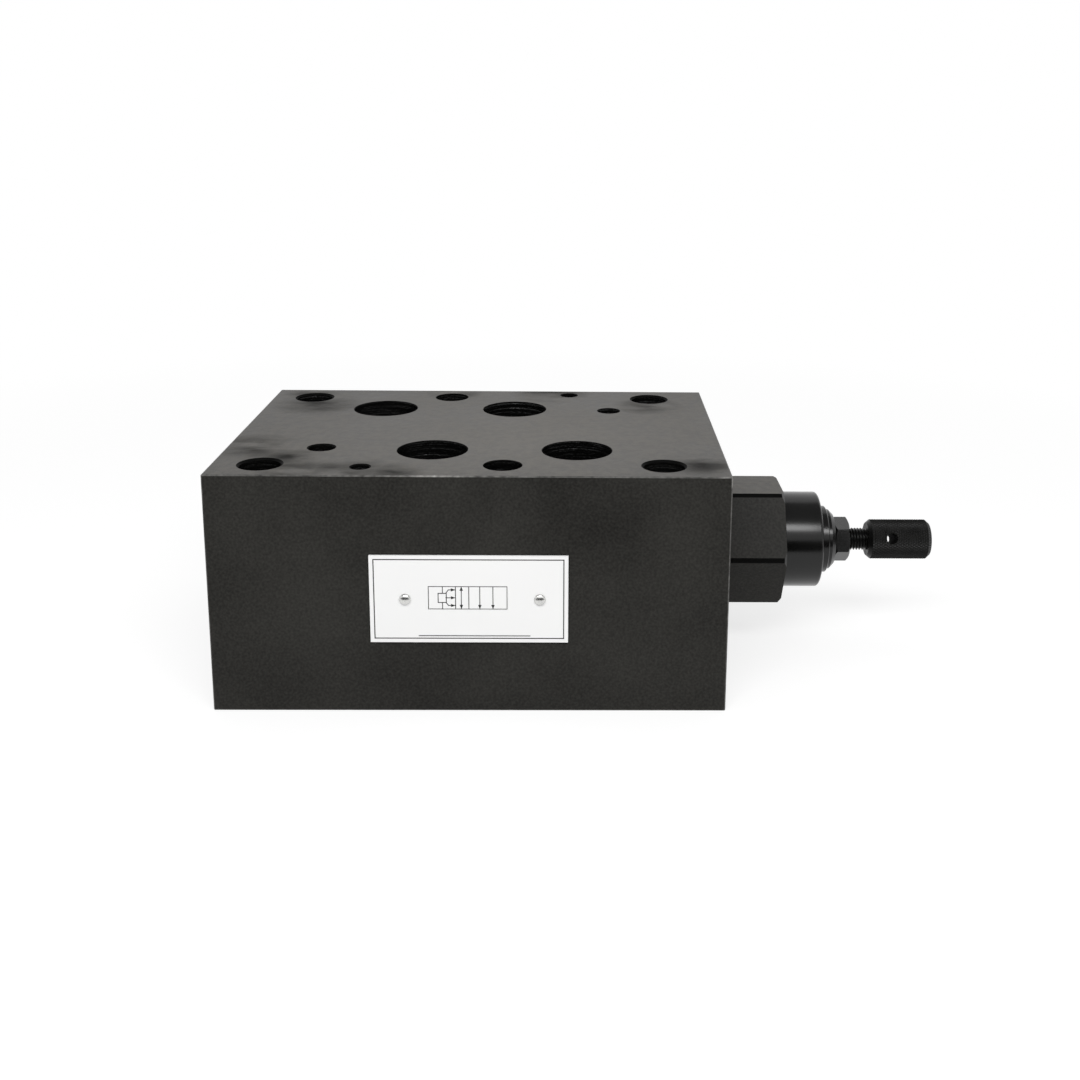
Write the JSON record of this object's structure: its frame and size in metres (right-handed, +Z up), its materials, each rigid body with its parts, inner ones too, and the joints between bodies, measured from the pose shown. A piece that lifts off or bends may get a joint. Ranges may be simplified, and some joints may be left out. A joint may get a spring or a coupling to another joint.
{
  "type": "manifold block",
  "caption": "Black sandwich valve block with drilled ports, bolt holes and a hexagon pilot head, with a lock nut and a knurled adjusting screw on its right end.",
  "frame": {"origin": "centre of the block's bottom face", "axes": "+X along the main bore towards the adjusting screw, +Y from the nameplate to the back, +Z up"},
  "size_m": [0.2465, 0.119, 0.08],
  "materials": {
    "block": "black oxide, finely ground, satin",
    "dark_steel": "black oxide, satin",
    "polished_black": "black oxide over turned steel, glossy",
    "bright_steel": "ground steel",
    "spring_steel": "drawn wire",
    "brass": "turned",
    "rubber": "matt black",
    "plate": "white satin enamel"
  },
  "bodies": {
    "valve": {"valve_body": "block", "bore_plug": "dark_steel", "bore_plug_seal": "rubber", "main_spring": "spring_steel", "pilot_head": "dark_steel", "head_nose_seal": "rubber", "head_face_seal": "rubber", "pilot_seat": "bright_steel", "pilot_spring": "spring_steel", "bonnet": "polished_black", "bonnet_seal": "rubber", "inlet_passage_plug": "dark_steel", "outlet_passage_plug": "dark_steel", "port_seal_P": "rubber", "port_seal_T": "rubber", "port_seal_A": "rubber", "port_seal_B": "rubber", "pilot_seal_X": "rubber", "pilot_seal_Y": "rubber", "nameplate": "plate", "nameplate_screw_left": "bright_steel", "nameplate_screw_right": "bright_steel"},
    "spool": {"main_spool": "bright_steel", "spool_orifice": "brass"},
    "poppet": {"pilot_poppet": "bright_steel"},
    "plunger": {"plunger": "bright_steel", "plunger_seal": "rubber"},
    "adjuster": {"adjusting_screw": "polished_black"},
    "lock_nut": {"lock_nut": "polished_black"}
  },
  "joints": [
    {"name": "plunger_travel", "type": "slide", "parent": "valve", "child": "plunger", "axis": [1, 0, 0], "range_m": [-0.0044, 0.0076], "deforming": ["pilot_spring"]},
    {"name": "screw_turn", "type": "hinge", "parent": "plunger", "child": "adjuster", "pos_m": [0.13, 0, 0.039], "axis": [1, 0, 0], "range_deg": [-1500, 2590]},
    {"name": "lock_nut_turn", "type": "hinge", "parent": "valve", "child": "lock_nut", "pos_m": [0.13, 0, 0.039], "axis": [1, 0, 0], "range_deg": [0, 1080]},
    {"name": "poppet_slide", "type": "slide", "parent": "valve", "child": "poppet", "axis": [1, 0, 0], "range_m": [0, 0.0015], "stiffness_N_per_m": 2000, "springref_m": -0.004, "deforming": ["pilot_spring"]},
    {"name": "spool_slide", "type": "slide", "parent": "valve", "child": "spool", "axis": [1, 0, 0], "range_m": [0, 0.008], "stiffness_N_per_m": 1500, "springref_m": -0.006, "deforming": ["main_spring"]}
  ],
  "couplings": [
    {"joint": "screw_turn", "follows": "plunger_travel", "rad_per_m": 5936.9}
  ]
}
